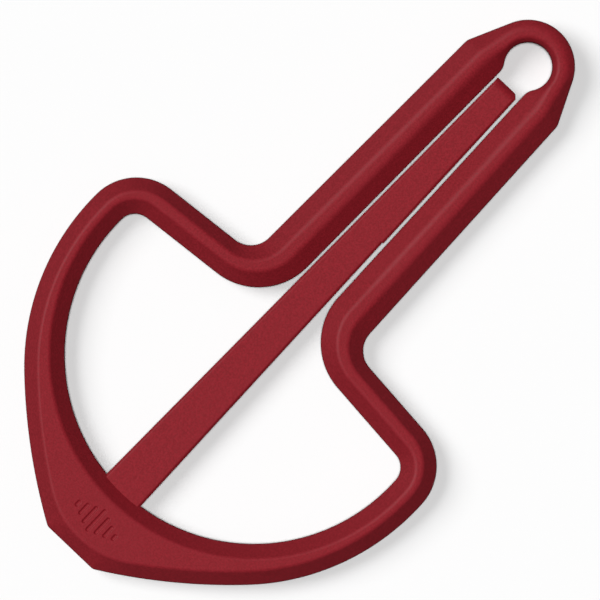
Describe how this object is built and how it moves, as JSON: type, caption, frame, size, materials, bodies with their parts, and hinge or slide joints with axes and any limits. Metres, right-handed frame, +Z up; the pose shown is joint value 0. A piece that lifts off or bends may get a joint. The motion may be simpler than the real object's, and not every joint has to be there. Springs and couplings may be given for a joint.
{
  "type": "jaw harp",
  "caption": "Moulded jaw harp: a bow-shaped frame whose two arms close in a ring eye, with a springy tongue that swings through the slot between them.",
  "frame": {"origin": "on the face the harp lies on, under the middle of its length and width", "axes": "+X across the frame, +Y from the base plate to the ring end, +Z up through its thickness"},
  "size_m": [0.0568, 0.09, 0.005],
  "materials": {
    "frame_plastic": "matte",
    "tongue_plastic": "matte"
  },
  "bodies": {
    "frame": {"frame": "frame_plastic", "tongue_root": "tongue_plastic"},
    "tongue": {"tongue_blade": "tongue_plastic"}
  },
  "joints": [
    {"name": "tongue_swing", "type": "hinge", "parent": "frame", "child": "tongue", "pos_m": [0, -0.02467, 0.0025], "axis": [1, 0, 0], "range_deg": [-8, 8], "stiffness_Nm_per_rad": 0.065}
  ]
}
